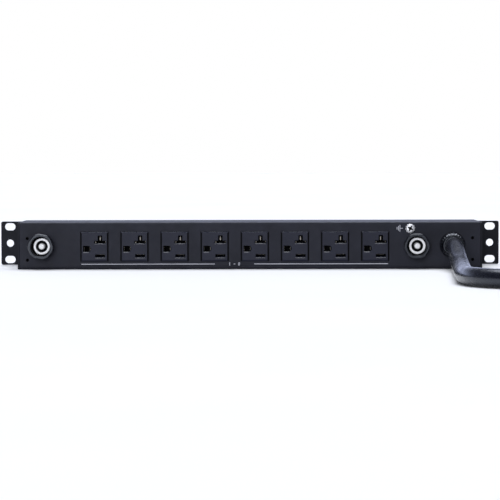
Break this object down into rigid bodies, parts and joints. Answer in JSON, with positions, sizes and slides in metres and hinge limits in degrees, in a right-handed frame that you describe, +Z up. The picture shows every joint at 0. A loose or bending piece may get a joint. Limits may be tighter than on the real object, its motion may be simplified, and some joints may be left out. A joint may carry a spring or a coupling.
{
  "type": "rack power strip",
  "caption": "Low rack-mount power strip with ears, outlets along both long sides, push-to-reset breakers, a ground screw and a thick supply cord that ends in a locking plug.",
  "frame": {"origin": "on the resting surface, under the middle of the strip without its cord", "axes": "+X along the strip towards the cord, +Y from the breaker side to the side with the rack ears, +Z up"},
  "size_m": [0.7378, 0.4536, 0.05],
  "materials": {
    "painted_steel": "fine satin black powder coat",
    "ear_steel": "fine satin black powder coat",
    "outlet_plastic": "satin moulded black-grey plastic",
    "black_plastic": "smooth black nylon",
    "white_plastic": "smooth white plastic",
    "nickel": "bright nickel plate",
    "brass": "rolled brass",
    "cord_jacket": "satin black cord jacket",
    "green_jacket": "satin green wire jacket",
    "white_jacket": "satin white wire jacket"
  },
  "bodies": {
    "root": {"housing": "painted_steel", "bottom_cover": "painted_steel", "end_plate_left": "painted_steel", "end_plate_right": "painted_steel", "ear_left": "ear_steel", "ear_right": "ear_steel", "cover_screw_1": "nickel", "cover_screw_2": "nickel", "cover_screw_3": "nickel", "cover_screw_4": "nickel", "ear_screw_left_1": "nickel", "ear_screw_left_2": "nickel", "ear_screw_right_1": "nickel", "ear_screw_right_2": "nickel", "breaker_bushing_left": "nickel", "breaker_bushing_right": "nickel", "ground_screw": "nickel", "ground_washer": "nickel", "outlet_near_1": "outlet_plastic", "outlet_near_2": "outlet_plastic", "outlet_near_3": "outlet_plastic", "outlet_near_4": "outlet_plastic", "outlet_near_5": "outlet_plastic", "outlet_near_6": "outlet_plastic", "outlet_near_7": "outlet_plastic", "outlet_near_8": "outlet_plastic", "outlet_far_1": "outlet_plastic", "outlet_far_2": "outlet_plastic", "outlet_far_3": "outlet_plastic", "outlet_far_4": "outlet_plastic", "outlet_far_5": "outlet_plastic", "outlet_far_6": "outlet_plastic", "outlet_far_7": "outlet_plastic", "outlet_far_8": "outlet_plastic", "breaker_body_left": "black_plastic", "breaker_body_right": "black_plastic", "breaker_guard_left": "black_plastic", "breaker_guard_right": "black_plastic", "strain_relief": "black_plastic", "relief_locknut": "black_plastic", "plug_cap": "black_plastic", "plug_body": "black_plastic", "cord_tie": "black_plastic", "plug_blade_ground": "brass", "plug_blade_neutral": "brass", "plug_blade_hot": "brass", "neutral_bar": "brass", "ground_bar": "brass", "hot_bar_near": "brass", "hot_bar_far": "brass", "cord_lead": "cord_jacket", "cord_coil": "cord_jacket", "cord_tail": "cord_jacket", "supply_wire_hot": "cord_jacket", "load_wire_near": "cord_jacket", "load_wire_far": "cord_jacket", "supply_wire_ground": "green_jacket", "supply_wire_neutral": "white_jacket"},
    "button_left": {"reset_button_left": "white_plastic"},
    "button_right": {"reset_button_right": "white_plastic"}
  },
  "joints": [
    {"name": "reset_left", "type": "slide", "parent": "root", "child": "button_left", "axis": [0, -1, 0], "range_m": [0, 0.0045]},
    {"name": "reset_right", "type": "slide", "parent": "root", "child": "button_right", "axis": [0, -1, 0], "range_m": [0, 0.0045]}
  ]
}
